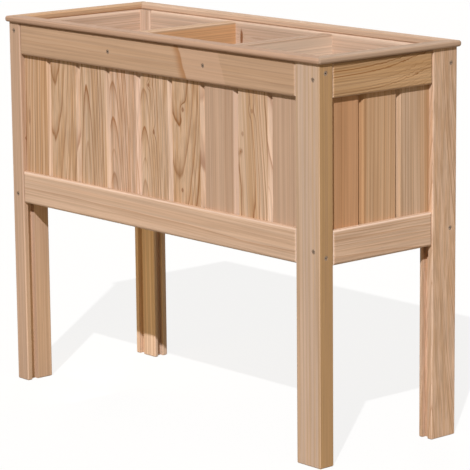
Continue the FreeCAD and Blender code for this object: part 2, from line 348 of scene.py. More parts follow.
def new_group(name: str, inputs: dict[str, str], outputs: dict[str, str]) -> Graph:
    """Makes an empty node group with its sockets.

    Args:
        name: The group's name.
        inputs: The names of its inputs by their kind, which is Float, Vector or Color.
        outputs: The names of its outputs by their kind.

    Returns:
        The group's nodes.
    """
    tree = bpy.data.node_groups.new(name, "ShaderNodeTree")
    for side, sockets in (("INPUT", inputs), ("OUTPUT", outputs)):
        for kind, labels in sockets.items():
            for label in labels.split():
                tree.interface.new_socket(name=label, in_out=side, socket_type=f"NodeSocket{kind}")
    return Graph(tree)


def make_ring_pattern() -> NodeTree:
    """Makes the node group that grows year rings, fibres and streaks of colour round a pith.

    Its place input has the pith along Z, in metres, so the rings show as arches on a face that
    was sawn along the log and as arcs on an end.

    Returns:
        The group's tree.
    """
    graph = new_group(
        "larch_rings",
        {
            "Vector": "Place Seed",
            "Float": "Ring Waver Contrast Core Shift End",
            "Color": "Early Late Heart",
        },
        {"Color": "Color", "Float": "Roughness Height"},
    )
    given = graph.node("NodeGroupInput").outputs
    contrast = given["Contrast"]
    grown = graph.vector("ADD", given["Place"], given["Seed"])
    round_the_pith = (1.0, 1.0, 0.0)

    # Rings wander from a circle in long waves, and less in shorter ones
    waves = graph.sway(grown, (7, 7, 1.4))
    for lumps, share in (((16, 16, 5), 0.35), ((60, 60, 6), 0.12)):
        waves = graph.vector("ADD", waves, graph.scaled(graph.sway(grown, lumps), share))
    wandered = graph.vector("ADD", given["Place"], graph.scaled(waves, given["Waver"]))
    distance = graph.vector("LENGTH", graph.vector("MULTIPLY", wandered, round_the_pith))
    radius = graph.math("ADD", distance, given["Shift"])

    # Some years are wider than others
    count = graph.math("DIVIDE", radius, given["Ring"])
    slow_count = graph.times(count, 0.37)
    uneven = graph.node("ShaderNodeTexNoise", {"W": slow_count, "Scale": 1.0}, noise_dimensions="1D")
    years = graph.math("ADD", count, graph.times(uneven.outputs["Fac"], 2.2))

    # Each year goes slowly from pale to dark and then breaks off, and some years are bolder
    season = graph.curve(
        graph.math("FRACT", years), [(0.0, 0.0), (0.58, 0.05), (0.82, 0.38), (0.93, 1.0), (1.0, 0.0)])
    chance = graph.node("ShaderNodeTexWhiteNoise", {"W": graph.math("FLOOR", years)}, noise_dimensions="1D")
    boldness = graph.between(graph.math("POWER", chance.outputs["Value"], 1.6), 0.25, 1.0)
    late = graph.times(season, boldness)

    # Fibres, broad streaks and fine threads along the grain, clouds and short flecks
    fibre = graph.grey(grown, (900, 900, 12), 4)
    streak = graph.ease(graph.grey(grown, (110, 110, 1.2), 3), 0.40, 0.62)
    thread = graph.ease(graph.grey(grown, (260, 260, 2.0), 3), 0.36, 0.64)
    cloud = graph.grey(grown, (14, 14, 3))
    fleck = graph.ease(graph.grey(grown, (420, 420, 24)), 0.66, 0.76)
    streaked = graph.times(streak, graph.between(contrast, 0.25, 0.75))
    threads_shown = graph.math("MULTIPLY_ADD", contrast, 0.5, 0.3, clamp=True)
    threaded = graph.times(thread, threads_shown)

    # The streaks and the core have the heart's colour, and the late wood lies over both
    from_core = graph.math("SUBTRACT", radius, given["Core"])
    inside_core = graph.rest(graph.ease(from_core, -0.004, 0.004))
    heart = graph.math("MAXIMUM", streaked, inside_core, clamp=True)
    wood = graph.blend(heart, given["Early"], given["Heart"])
    shown = graph.math("MULTIPLY", late, graph.times(contrast, 1.5), clamp=True)
    wood = graph.blend(shown, wood, given["Late"])

    # Ends are darker than faces
    shade = graph.between(fibre, 0.92, 1.08)
    shade = graph.times(shade, graph.between(cloud, 0.88, 1.12))
    shade = graph.times(shade, graph.between(threaded, 0.90, 1.20))
    shade = graph.math("SUBTRACT", shade, graph.times(fleck, 0.10))
    shade = graph.times(shade, graph.between(given["End"], 1.0, 0.7))
    wood = graph.blend(1.0, wood, shade, "MULTIPLY")

    rough = graph.math("MULTIPLY_ADD", late, -0.08, graph.between(fibre, 0.50, 0.72))
    height = graph.math("MULTIPLY_ADD", late, 0.5, graph.times(fibre, 0.5))
    return graph.give(color=wood, roughness=rough, height=height)


def make_knot_pattern() -> NodeTree:
    """Makes the node group of one knot: where it shows, its colour and how it bends the rings.

    Returns:
        The group's tree.
    """
    graph = new_group(
        "larch_knot",
        {"Vector": "Place Centre Flatten", "Float": "Radius Bend"},
        {"Color": "Color", "Float": "Mask Pull"},
    )
    given = graph.node("NodeGroupInput").outputs
    offset = graph.vector("SUBTRACT", given["Place"], given["Centre"])
    offset = graph.vector("MULTIPLY", offset, given["Flatten"])
    roughness = graph.times(given["Radius"], 0.8)
    ragged = graph.scaled(graph.sway(given["Place"], (90, 90, 90)), roughness)
    distance = graph.vector("LENGTH", graph.vector("ADD", offset, ragged))
    reach = graph.math("DIVIDE", distance, given["Radius"])
    mask = graph.rest(graph.ease(reach, 0.6, 1.25))
    rings = graph.math("FRACT", graph.times(reach, 2.5))
    colour = graph.ramp(
        rings, [(0.0, linear(150, 98, 58)), (0.7, linear(124, 76, 42)), (1.0, linear(104, 62, 34))])
    fall = graph.times(graph.times(reach, reach), -0.16)
    pull = graph.times(graph.math("EXPONENT", fall), given["Bend"])
    return graph.give(mask=mask, color=colour, pull=pull)


@dataclass
class Piece:
    """One wooden piece: which way its grain and its best face point, and how it was sawn.

    Attributes:
        node: The CAD node that it is.
        grain: The way of its grain.
        face: The way of its best face.
        tone: Its colours.
        sawing: How it lies in its log.
        knots: Its knots.
        arris: How much paler its arrises are, partly as planed wood is paler and partly as a painted
            highlight.
        flame: A brown flame across its face, if it has one.
    """

    node: str
    grain: Axis
    face: Axis
    tone: Tone
    sawing: Sawing
    knots: tuple[Knot, ...] = ()
    arris: float = 0.3
    flame: Flame | None = None

    @property
    def sideways(self) -> Vector:
        """The way across the face."""
        return self.grain.way.cross(self.face.way)

    def point(self, along: float, across: float, behind: float) -> Vector:
        """Finds a point by its place on the face.

        Args:
            along: How far up the grain it is from the piece's low end, in metres.
            across: How far to the side of the middle of the face it is, in metres.
            behind: How far behind the face it is, in metres.

        Returns:
            The point in the frame.
        """
        low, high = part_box(self.node)
        start = (low + high + (high - low) * (self.face.way - self.grain.way)) / 2
        return start + self.grain.way * along + self.sideways * across - self.face.way * behind

    def log_place(self) -> tuple[Vector, Euler]:
        """Works out how the piece's coordinates turn into those of its log, with the pith along Z.

        Returns:
            The location and the turn for a Mapping node.
        """
        low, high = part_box(self.node)
        length = abs((high - low).dot(self.grain.way))
        cut = self.sawing
        pith = self.point(length / 2, cut.across, cut.behind)
        run = (self.grain.way - self.face.way * cut.lean + self.sideways * cut.drift).normalized()
        outward = (self.face.way - run * self.face.way.dot(run)).normalized()
        turn = Matrix((outward, run.cross(outward), run))
        return -(turn @ pith), turn.to_euler()


class LarchSurface(Surface):
    """Planed, untreated larch on one piece, with rings, fibres and knots that run right through it."""

    seed_reach: float = 9.0
    end_facing: tuple[float, float] = (0.75, 0.95)
    arris_facing: tuple[float, float] = (0.06, 0.24)
    # The paler colour of arrises stands partly for planed wood and partly for a painted highlight
    planed_arris: Colour = linear(236, 214, 202)

    def __init__(self, piece: Piece, knot_tree: NodeTree) -> None:
        """Makes the piece's material and grows its knots.

        Args:
            piece: The piece.
            knot_tree: The tree of the knots' group.
        """
        super().__init__(f"larch_{piece.node}")
        self.piece = piece
        self.place = self.coordinates("Object")
        self.normal = self.coordinates("Normal")
        self.knots = [self.grow_knot(knot, knot_tree) for knot in piece.knots]

    def grow_knot(self, knot: Knot, tree: NodeTree) -> Node:
        """Adds the node group of a knot.

        Args:
            knot: The knot.
            tree: The group's tree.

        Returns:
            The group node.
        """
        piece = self.piece
        squeeze = knot.radius / knot.reach
        flatten = [abs(side) + abs(run) * squeeze for side, run in zip(piece.sideways, piece.grain.way)]
        return self.group(
            tree,
            place=self.place,
            centre=piece.point(knot.along, knot.across, 0.0),
            flatten=flatten,
            radius=knot.radius,
            bend=min(knot.radius, knot.reach),
        )

    def grow_wood(self, tree: NodeTree) -> Node:
        """Adds the node group of the year rings, which bend round the knots.

        Args:
            tree: The group's tree.

        Returns:
            The group node.
        """
        cut, tone = self.piece.sawing, self.piece.tone
        chance = random.Random(self.piece.node)
        location, turn = self.piece.log_place()
        log = self.node("ShaderNodeMapping", {"Vector": self.place, "Location": location, "Rotation": turn})
        along_grain = self.vector("DOT_PRODUCT", self.normal, self.piece.grain.way)
        shift = 0.0
        for knot in self.knots:
            shift = self.math("ADD", knot.outputs["Pull"], shift)
        return self.group(
            tree,
            place=log.outputs["Vector"],
            seed=[chance.uniform(-self.seed_reach, self.seed_reach) for _ in range(3)],
            ring=cut.ring, waver=cut.waver, contrast=cut.contrast, core=cut.core, shift=shift,
            end=self.ease(self.math("ABSOLUTE", along_grain), *self.end_facing),
            early=tone.early, late=tone.late, heart=tone.heart,
        )

    def add_flame(self, colour: NodeSocket) -> NodeSocket:
        """Adds the brown flame and the paler patch beyond it.

        Args:
            colour: The colour so far.

        Returns:
            The colour with the flame.
        """
        piece, flame = self.piece, self.piece.flame
        offset = self.vector("SUBTRACT", self.place, piece.point(flame.along, 0.0, 0.0))
        along = self.vector("DOT_PRODUCT", offset, piece.grain.way - piece.sideways * flame.slope)
        wobble = self.between(self.grey(self.place, (30, 30, 30)), -flame.wobble, flame.wobble)
        along = self.math("ADD", along, wobble)
        past = self.ease(along, 0.0, flame.edge)
        rise = self.ease(along, -flame.width, -0.001)
        end = self.ease(along, flame.reach - flame.edge, flame.reach)
        brown = self.times(self.times(rise, self.rest(past)), flame.brown_share)
        patch = self.times(self.times(past, self.rest(end)), flame.pale_share)
        return self.blend(patch, self.blend(brown, colour, flame.brown), flame.pale)

    def add_arrises(self, colour: NodeSocket) -> NodeSocket:
        """Makes the wood paler on bevels and rounded edges, partly as planed wood is paler and partly as a
        painted highlight.

        Args:
            colour: The colour so far.

        Returns:
            The colour with paler arrises, partly a painted highlight.
        """
        facing = self.node("ShaderNodeSeparateXYZ", {0: self.vector("ABSOLUTE", self.normal)}).outputs
        squarest = facing["X"]
        for axis in "YZ":
            squarest = self.math("MAXIMUM", squarest, facing[axis])
        # Bevels and rounded edges get paler, partly as planed wood is paler and partly as a painted
        # highlight
        arris_paleness_and_highlight_mask = self.ease(self.rest(squarest), *self.arris_facing)
        return self.blend(self.times(arris_paleness_and_highlight_mask, self.piece.arris), colour, self.planed_arris)

    def finished(self, ring_tree: NodeTree) -> Material:
        """Adds the wood, the knots' own colour and the shader.

        Args:
            ring_tree: The tree of the year rings' group.

        Returns:
            The finished material.
        """
        wood = self.grow_wood(ring_tree).outputs
        colour = wood["Color"]
        if self.piece.flame:
            colour = self.add_flame(colour)
        for knot, grown in zip(self.piece.knots, self.knots):
            shown = self.times(grown.outputs["Mask"], knot.depth)
            colour = self.blend(shown, colour, grown.outputs["Color"])
        if self.piece.arris:
            colour = self.add_arrises(colour)
        relief = {"Strength": 0.35, "Distance": 0.0006, "Height": wood["Height"]}
        return self.cover(self.node("ShaderNodeBsdfPrincipled", {
            "Base Color": colour,
            "Roughness": wood["Roughness"],
            "Specular IOR Level": 0.2,
            "Normal": self.node("ShaderNodeBump", relief).outputs["Normal"],
        }))


class LarchFinish:
    """The larch of the bed: two node groups that every piece shares."""

    def __init__(self) -> None:
        """Makes the node groups."""
        self.rings = make_ring_pattern()
        self.knot = make_knot_pattern()

    def dress(self, piece: Piece) -> None:
        """Puts a piece's material on its node."""
        wear(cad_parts[piece.node], LarchSurface(piece, self.knot).finished(self.rings))
        LOG.info("%s dressed in %s larch", piece.node, piece.tone.name.lower())


def wear(target: Object, material: Material) -> None:
    """Puts one material in every material slot of an object.

    Args:
        target: The object.
        material: The material.
    """
    if not target.material_slots:
        target.data.materials.append(material)
    for slot in target.material_slots:
        slot.material = material


class Span(Enum):
    """Ranges that a piece's sawing is drawn from, where nothing in the picture asks for more.

    Each gives the range across, the range behind, the most lean and the mean ring. Lengths are in metres.
    """

    LEG = ((-0.06, 0.06), (0.05, 0.14), 0.006, 0.0035)
    RAIL = ((-0.09, 0.09), (0.03, 0.10), 0.010, 0.0034)
    BOARD = ((-0.05, 0.05), (0.02, 0.09), 0.060, 0.0046)
    RIM = ((-0.08, 0.08), (0.05, 0.12), 0.008, 0.0032)
    FLOOR = ((-0.04, 0.04), (0.02, 0.08), 0.060, 0.0045)

    def draw(self, name: str) -> Sawing:
        """Draws a sawing, the same one each time for a name.

        Args:
            name: The piece's name.

        Returns:
            The sawing.
        """
        across, behind, lean, ring = self.value
        chance = random.Random(f"sawing {name}")
        return Sawing(
            across=chance.uniform(*across),
            behind=chance.uniform(*behind),
            lean=chance.uniform(-lean, lean),
            drift=chance.uniform(-lean, lean) / 3,
            ring=ring * chance.uniform(0.85, 1.2),
        )


@dataclass
class Woodwork:
    """A sub-assembly of larch pieces, which are dressed one by one."""

    larch: LarchFinish

    def pieces(self) -> list[Piece]:
        """The pieces, which each sub-assembly lists for itself."""
        raise NotImplementedError

    def dress(self) -> None:
        """Dresses the pieces."""
        for piece in self.pieces():
            self.larch.dress(piece)


@dataclass
class Legs(Woodwork):
    """The four legs, each grooved for the wall boards."""

    def pieces(self) -> list[Piece]:
        """Lists the legs.

        Returns:
            The legs, from the front left corner anticlockwise.
        """
        knot = Knot(along=0.563, across=-0.022, radius=0.004, reach=0.005)
        straight = Sawing(across=0.07, behind=0.09, lean=0.004, ring=0.0042, contrast=0.4)
        two_toned = Sawing(
            across=0.056, behind=0.019, lean=0.003, ring=0.0036, waver=0.005, contrast=0.4, core=0.031)
        slanted = Sawing(
            across=0.055, behind=0.055, lean=-0.08, drift=-0.03, ring=0.003, waver=0.005, contrast=0.7)
        return [
            Piece("leg_front_left", Axis.UP, Axis.RIGHT, Tone.ROSE, straight, (knot,)),
            Piece("leg_front_right", Axis.UP, Axis.FRONT, Tone.SAPWOOD, two_toned),
            Piece("leg_rear_right", Axis.UP, Axis.RIGHT, Tone.BLOND, slanted),
            Piece("leg_rear_left", Axis.UP, Axis.LEFT, Tone.CREAM, Span.LEG.draw("leg_rear_left")),
        ]


@dataclass
class Rails(Woodwork):
    """The top and bottom rails of the four walls."""

    def pieces(self) -> list[Piece]:
        """Lists the rails: the wall, the level and what a piece takes after its face.

        Returns:
            The rails, wall by wall.
        """
        flame = Flame(along=0.573, slope=0.38, width=0.026, reach=0.128)
        plain = Sawing(across=0.05, behind=0.12, lean=0.003, drift=0.01, ring=0.003, contrast=0.3)
        lined = replace(plain, contrast=0.5)
        swept = Sawing(across=-0.08, behind=0.05, ring=0.0048, waver=0.007, contrast=1.1)
        sweep = Knot(along=0.33, across=-0.01, radius=0.03, reach=0.05, depth=0.0)
        low = Sawing(across=0.045, behind=0.06, lean=0.02, ring=0.005, waver=0.008, contrast=0.7)
        quiet = replace(Span.RAIL.draw("rear_top"), contrast=0.45)
        spike = Knot(along=0.3285, across=0.0, radius=0.020, reach=0.005)
        rails = (
            (Wall.FRONT, "top", Tone.STRAW, plain, (), 0.3, flame),
            (Wall.FRONT, "bottom", Tone.PALE, lined, (), 0.4),
            (Wall.RIGHT, "top", Tone.HONEY, swept, (sweep,)),
            (Wall.RIGHT, "bottom", Tone.PALE, low, (), 0.6),
            (Wall.REAR, "top", Tone.CREAM, quiet, (spike,), 0.1),
            (Wall.REAR, "bottom", Tone.FAWN, Span.RAIL.draw("rear_bottom")),
            (Wall.LEFT, "top", Tone.CREAM, Span.RAIL.draw("left_top"), (), 0.1),
            (Wall.LEFT, "bottom", Tone.TAN, Span.RAIL.draw("left_bottom")),
        )
        return [
            Piece(f"{wall.word}_{level}_rail", wall.run, wall.face, *looks)
            for wall, level, *looks in rails
        ]


Board = tuple[Tone, Sawing, tuple[Knot, ...]]


@dataclass
class Walls(Woodwork):
    """The upright tongued boards of the four walls, with vees that are paler, partly as a painted
    highlight, in all but the right one.
    """

    # How much paler the vees are, partly a painted highlight
    arris: float = 0.2

    def front(self) -> list[Board]:
        """Describes the front boards, with each sawing in the order of its fields.

        Returns:
            The boards, from the left.
        """
        resin = Knot(along=0.139, across=-0.028, radius=0.004, reach=0.022, depth=0.45)
        high_pair = (Knot(0.253, -0.021, 0.004, 0.004, 0.7), Knot(0.154, -0.006, 0.004, 0.006, 0.7))
        low_pair = (Knot(0.212, -0.014, 0.004, 0.006, 0.7), Knot(0.040, -0.018, 0.0035, 0.005, 0.7))
        places = ((0.183, -0.035, 0.3), (0.147, -0.038, 0.3), (0.233, -0.006, 0.4))
        faint = tuple(Knot(along, across, depth=depth) for along, across, depth in places)
        return [
            (Tone.TAN, Sawing(0.075, 0.05, 0.012, 0.02, 0.0075, 0.014, 1.2), (resin,)),
            (Tone.TAN, Sawing(-0.039, 0.0586, -0.055, 0.03, 0.008, 0.020, 1.0), ()),
            (Tone.FAWN, Sawing(-0.025, 0.0466, 0.030, 0.0, 0.0038, 0.006, 1.25), ()),
            (Tone.PINK, Sawing(-0.038, 0.045, 0.055, 0.0, 0.0036, 0.006, 1.35), ()),
            (Tone.FAWN, Sawing(-0.037, 0.0421, 0.055, 0.0, 0.0034, 0.008, 1.0), high_pair),
            (Tone.TAN, Sawing(-0.031, 0.0924, -0.08, 0.0, 0.007, 0.012, 1.0), low_pair),
            (Tone.ROSE, Sawing(0.12, 0.16, 0.004, 0.0, 0.006, 0.010, 0.4), ()),
            (Tone.FAWN, Sawing(-0.04, 0.053, 0.0, -0.06, 0.0075, 0.040, 1.3), faint),
            (Tone.ROSE, Sawing(0.10, 0.20, 0.002, 0.0, 0.006, 0.008, 0.25), ()),
        ]

    def right(self) -> list[Board]:
        """Describes the right-hand boards, from the front, in the same way."""
        return [
            (Tone.ORANGE, Sawing(0.09, 0.14, 0.004, 0.0, 0.004, 0.006, 0.35), ()),
            (Tone.AMBER, Sawing(-0.052, 0.014, 0.0, 0.006, 0.006, 0.006, 0.55, 0.019), ()),
            (Tone.FAWN, Sawing(0.062, 0.020, 0.0, -0.010, 0.0055, 0.008, 0.7, 0.040), ()),
        ]

    def unseen(self, wall: Wall, count: int) -> list[Board]:
        """Draws the boards of a wall whose outside isn't known.

        Args:
            wall: The wall.
            count: How many boards it has.

        Returns:
            Its boards.
        """
        chance = random.Random(f"{wall.word} boards")
        boards = []
        for number in range(1, count + 1):
            spans = ((0.04, 0.26), (-0.03, 0.03), (0.003, 0.006))
            knot = Knot(*(chance.uniform(*span) for span in spans))
            knots = (knot,) if chance.random() < 0.5 else ()
            tone = chance.choice((Tone.PINK, Tone.FAWN, Tone.TAN))
            boards.append((tone, Span.BOARD.draw(f"{wall.word} {number}"), knots))
        return boards

    def pieces(self) -> list[Piece]:
        """Lists the boards.

        Returns:
            The boards, wall by wall.
        """
        front, right = self.front(), self.right()
        rear, left = self.unseen(Wall.REAR, len(front)), self.unseen(Wall.LEFT, len(right))
        made = []
        for wall, row in zip(Wall, (front, right, rear, left)):
            arris = 0.0 if wall is Wall.RIGHT else self.arris
            for number, board in enumerate(row, start=1):
                made.append(Piece(f"{wall.word}_board_{number}", Axis.UP, wall.face, *board, arris))
        return made


@dataclass
class Rim(Woodwork):
    """The mitred rim on top of the walls."""

    contrast: float = 0.45

    def pieces(self) -> list[Piece]:
        """Lists the rim's boards.

        Returns:
            The boards, wall by wall.
        """
        boards = []
        for wall, tone in zip(Wall, (Tone.RUSSET, Tone.LINEN, Tone.PALE, Tone.AMBER)):
            node = f"{wall.word}_rim_board"
            sawing = replace(Span.RIM.draw(node), contrast=self.contrast)
            boards.append(Piece(node, wall.run, Axis.UP, tone, sawing, arris=0.0))
        return boards


@dataclass
class Inside(Woodwork):
    """The cross braces, the floor bearers and the floor slats."""

    slats: int = 9

    def pieces(self) -> list[Piece]:
        """Lists the pieces.

        Returns:
            The braces, the bearers and the slats.
        """
        made = []
        for side, tone in (("left", Tone.COPPER), ("right", Tone.IVORY)):
            node = f"{side}_cross_brace"
            # The pith is below the brace, so the heart's colour covers its side and ends at its top; the
            # two colours are painted shade, darker on the left brace's side and on the right brace's top
            sawing = replace(
                Span.RAIL.draw(node),
                across=0.045, behind=0.015, lean=0.0, drift=0.0, waver=0.003, contrast=0.5, core=0.0775)
            made.append(Piece(node, Axis.REAR, Axis.RIGHT, tone, sawing))
        for side in ("front", "rear"):
            node = f"{side}_floor_bearer"
            made.append(Piece(node, Axis.RIGHT, Axis.UP, Tone.HONEY, Span.RAIL.draw(node)))
        for number in range(1, self.slats + 1):
            node = f"floor_slat_{number}"
            made.append(Piece(node, Axis.REAR, Axis.UP, Tone.FAWN, Span.FLOOR.draw(node)))
        return made


@dataclass(frozen=True)
class BeechFinish:
    """Fine-grained beech with short dark flecks."""

    dark_fibre: Colour = linear(198, 160, 122)
    pale_fibre: Colour = linear(220, 186, 150)
    fleck: Colour = linear(150, 104, 70)

    def material(self) -> Material:
        """Makes the material.

        Returns:
            The material.
        """
        surface = Surface("beech")
        place = surface.coordinates("Object")
        fibre = surface.grey(place, (900, 900, 30), 4)
        fleck = surface.ease(surface.grey(place, (1400, 1400, 300)), 0.62, 0.72)
        colour = surface.ramp(fibre, [(0.3, self.dark_fibre), (0.7, self.pale_fibre)])
        colour = surface.blend(surface.times(fleck, 0.5), colour, self.fleck)
        rough = surface.between(fibre, 0.5, 0.7)
        shader = surface.node("ShaderNodeBsdfPrincipled", {"Base Color": colour, "Roughness": rough})
        return surface.cover(shader)


@dataclass
class Dowels:
    """The dowels that hold the rim on the rails."""

    beech: BeechFinish
    node: str = "rim_dowels"

    def dress(self) -> None:
        """Dresses the dowels."""
        wear(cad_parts[self.node], self.beech.material())
        LOG.info("%s dressed in beech", self.node)


@dataclass(frozen=True)
class ZincFinish:
    """Zinc-coated steel, a little uneven, darker and browner than zinc as painted shade and painted
    reflection, with a near-black recess that is painted shade.
    """

    # Darker and browner than zinc: painted shade of the sunk head and painted reflection of the wood round
    # it
    plate: Colour = linear(150, 128, 108)
    # Near black: painted shade in the recess
    recess: Colour = linear(56, 40, 28)

    def material(self, name: str, colour: Colour) -> Material:
        """Makes a metal with cloudy brightness and fine scratches.

        Args:
            name: The material's name.
            colour: Its colour.

        Returns:
            The material.
        """
        surface = Surface(name)
        place = surface.coordinates("Object")
        cloud = surface.grey(place, (500, 500, 500), 4)
        fine = surface.grey(place, (4000, 4000, 4000))
        return surface.cover(surface.node("ShaderNodeBsdfPrincipled", {
            "Metallic": 1.0,
            "Base Color": surface.blend(1.0, colour, surface.between(cloud, 0.75, 1.25), "MULTIPLY"),
            "Roughness": surface.between(fine, 0.34, 0.54),
        }))


def select_only(*things: Object) -> None:
    """Selects some objects and nothing else, and makes the first one active.

    Args:
        things: The objects, or none to deselect everything.
    """
    bpy.ops.object.select_all(action="DESELECT")
    for thing in things:
        thing.select_set(True)
    if things:
        bpy.context.view_layer.objects.active = things[0]


def edit_top(thing: Object) -> None:
    """Opens an object for editing with only the faces that point up selected.

    Args:
        thing: The object, which is the active one.
    """
    for face in thing.data.polygons:
        face.select = face.normal.z > TOP_RISE
    bpy.ops.object.mode_set(mode="EDIT")
    bpy.ops.mesh.select_mode(type="FACE")


@dataclass
class Screws:
    """The countersunk screws, each modelled with a cross recess, a cone, a neck and a thread.

    Attributes:
        zinc: Their finish.
        nodes: The CAD nodes of the plain screws.
        head_radius: The head's radius in metres, as all lengths are.
        lip: The thickness of the head's rim.
        shank_radius: The radius of the neck and of the thread's crest.
        core_radius: The radius at the thread's root.
        plain_share: The share of the length before the thread starts.
        root: Where the thread's root starts and ends, as shares of the pitch.
        slot: The length, width and depth of the recess.
        slot_span: Between which shares of its depth the middles of the recess's faces lie.
        taper: The share of the slot's size that is left at its bottom.
        crease: The angle in degrees past which an edge stays sharp.
        spin: How far a screw is turned for each metre of its place, in radians.
    """

    zinc: ZincFinish
    nodes: tuple[str, ...] = ("leg_screws", "brace_screws", "bearer_screws")
    head_radius: float = 0.005
    lip: float = 0.0004
    shank_radius: float = 0.0025
    core_radius: float = 0.0018
    tip_radius: float = 0.0002
    plain_share: float = 0.35
    pitch: float = 0.003
    root: tuple[float, float] = (0.35, 0.6)
    point_length: float = 0.007
    slot: tuple[float, float, float] = (0.0066, 0.0024, 0.0024)
    slot_span: tuple[float, float] = (0.05, 1.1)
    taper: float = 0.55
    sides: int = 24
    crease: float = 40.0
    spin: float = 40.0

    def build(self) -> None:
        """Builds the screws of every group in place of the plain ones."""
        plate = self.zinc.material("zinc_plate", self.zinc.plate)
        recess = self.zinc.material("zinc_recess", self.zinc.recess)
        patterns: dict[float, Object] = {}
        for node in self.nodes:
            copies = []
            for head, way, length in self.places(node):
                size = round(length, 4)
                if size not in patterns:
                    patterns[size] = self.pattern(size, plate, recess)
                copies.append(self.copy(patterns[size], head, way))
            select_only(*copies)
            bpy.ops.object.join()
            group = copies[0]
            group.name = f"{node}_threaded"
            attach(group, BODY)
            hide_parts(node)
            LOG.info("%s modelled, %d screws", node, len(copies))
        for pattern in patterns.values():
            bpy.data.objects.remove(pattern)

    def places(self, node: str) -> list[tuple[Vector, Vector, float]]:
        """Finds where a group's screws are, from the loose parts of its node.

        Args:
            node: The node's name.

        Returns:
            Each screw's head, the way that it points and its length.
        """
        select_only(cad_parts[node])
        bpy.ops.object.duplicate()
        bpy.ops.object.mode_set(mode="EDIT")
        bpy.ops.mesh.select_all(action="SELECT")
        bpy.ops.mesh.remove_doubles(threshold=1e-6)
        bpy.ops.mesh.separate(type="LOOSE")
        bpy.ops.object.mode_set(mode="OBJECT")
        found = []
        for part in list(bpy.context.selected_objects):
            corners = [part.matrix_world @ vertex.co for vertex in part.data.vertices]
            low, high = (Vector(map(pick, zip(*corners))) for pick in (min, max))
            size = high - low
            axis = max(range(3), key=lambda number: size[number])
            middle = (low + high) / 2
            along = Vector(float(number == axis) for number in range(3))
            widest = max(corners, key=lambda corner: (corner - middle).cross(along).length)
            way = along if widest[axis] < middle[axis] else -along
            head = middle - way * (size[axis] / 2)
            found.append((head, way, size[axis]))
            bpy.data.objects.remove(part)
        return sorted(found, key=lambda place: tuple(place[0]))

    def profile(self, length: float) -> list[tuple[float, float]]:
        """Works out the radius of a screw along its length, after the rim of its head.

        Args:
            length: The screw's length in metres.

        Returns:
            Radii and distances from the top of the head.
        """
        neck = self.lip + self.head_radius - self.shank_radius
        thread = max(neck + self.pitch, length * self.plain_share)
        steps = [(self.shank_radius, neck), (self.shank_radius, thread)]
        turns = int((length - self.point_length - thread) / self.pitch)
        for turn in range(turns):
            start = thread + turn * self.pitch
            steps += [(self.core_radius, start + share * self.pitch) for share in self.root]
            steps.append((self.shank_radius, start + self.pitch))
        return [*steps, (self.core_radius, length - self.point_length), (self.tip_radius, length)]

    def pattern(self, length: float, plate: Material, recess: Material) -> Object:
        """Models one screw along +Z, with the top of its head at the origin.

        Args:
            length: Its length in metres.
            plate: The material of its outside.
            recess: The material inside its recess.

        Returns:
            The screw.
        """
        select_only()
        bpy.ops.mesh.primitive_cylinder_add(
            vertices=self.sides, radius=self.head_radius, depth=self.lip, location=(0.0, 0.0, self.lip / 2))
        screw = bpy.context.object
        bpy.ops.object.transform_apply(location=True, rotation=True, scale=True)
        edit_top(screw)
        radius, level = self.head_radius, self.lip
        for next_radius, next_level in self.profile(length):
            step = (0.0, 0.0, next_level - level)
            share = next_radius / radius
            bpy.ops.mesh.extrude_region_move(TRANSFORM_OT_translate={"value": step})
            bpy.ops.transform.resize(value=(share, share, 1.0), center_override=(0.0, 0.0, next_level))
            radius, level = next_radius, next_level
        bpy.ops.object.mode_set(mode="OBJECT")
        self.cut_recess(screw)
        for material in (plate, recess):
            screw.data.materials.append(material)
        # Faces inside the recess take the near-black colour, which is painted shade
        long, _, deep = self.slot
        shallow_end, deep_end = (share * deep for share in self.slot_span)
        for face in screw.data.polygons:
            sunk = shallow_end < face.center.z < deep_end
            face.material_index = int(sunk and face.center.xy.length < long / 2)
        bpy.ops.object.shade_smooth_by_angle(angle=math.radians(self.crease))
        return screw

    def cut_recess(self, screw: Object) -> None:
        """Cuts the two slots of the cross recess, each narrower at its bottom.

        Args:
            screw: The screw.
        """
        long, wide, deep = self.slot
        for size_x, size_y in ((long, wide), (wide, long)):
            select_only()
            bpy.ops.mesh.primitive_cube_add(size=1.0)
            cutter = bpy.context.object
            cutter.scale = (size_x, size_y, 2 * deep)
            bpy.ops.object.transform_apply(location=False, rotation=False, scale=True)
            edit_top(cutter)
            bpy.ops.transform.resize(value=(self.taper, self.taper, 1.0), center_override=(0.0, 0.0, deep))
            bpy.ops.object.mode_set(mode="OBJECT")
            select_only(screw)
            cut = screw.modifiers.new("recess", "BOOLEAN")
            cut.operation = "DIFFERENCE"
            cut.solver = "EXACT"
            cut.object = cutter
            bpy.ops.object.modifier_apply(modifier=cut.name)
            bpy.data.objects.remove(cutter)

    def copy(self, pattern: Object, head: Vector, way: Vector) -> Object:
        """Copies a screw to its place, with a mesh of its own.

        Args:
            pattern: The screw to copy.
            head: The middle of the head's top.
            way: The way that the screw points.

        Returns:
            The copy.
        """
        made = pattern.copy()
        made.data = pattern.data.copy()
        bpy.context.scene.collection.objects.link(made)
        spin = Matrix.Rotation(sum(head) * self.spin, 4, "Z")
        turn = way.to_track_quat("Z", "Y").to_matrix().to_4x4()
        made.data.transform(Matrix.Translation(head) @ turn @ spin)
        return made


def looking(side: float, down: float, roll: float = 0.0) -> Euler:
    """Turns a lamp or a camera that stands to the right of the front and looks back at the bed.

    Args:
        side: How far round to the right it stands, in degrees.
        down: How far it looks down, in degrees.
        roll: How far it leans, in degrees.

    Returns:
        Its turn.
    """
    turns = ((side, "Z"), (90.0 - down, "X"), (roll, "Z"))
    around, tilt, lean = (Matrix.Rotation(math.radians(angle), 3, axis) for angle, axis in turns)
    return (around @ tilt @ lean).to_euler()


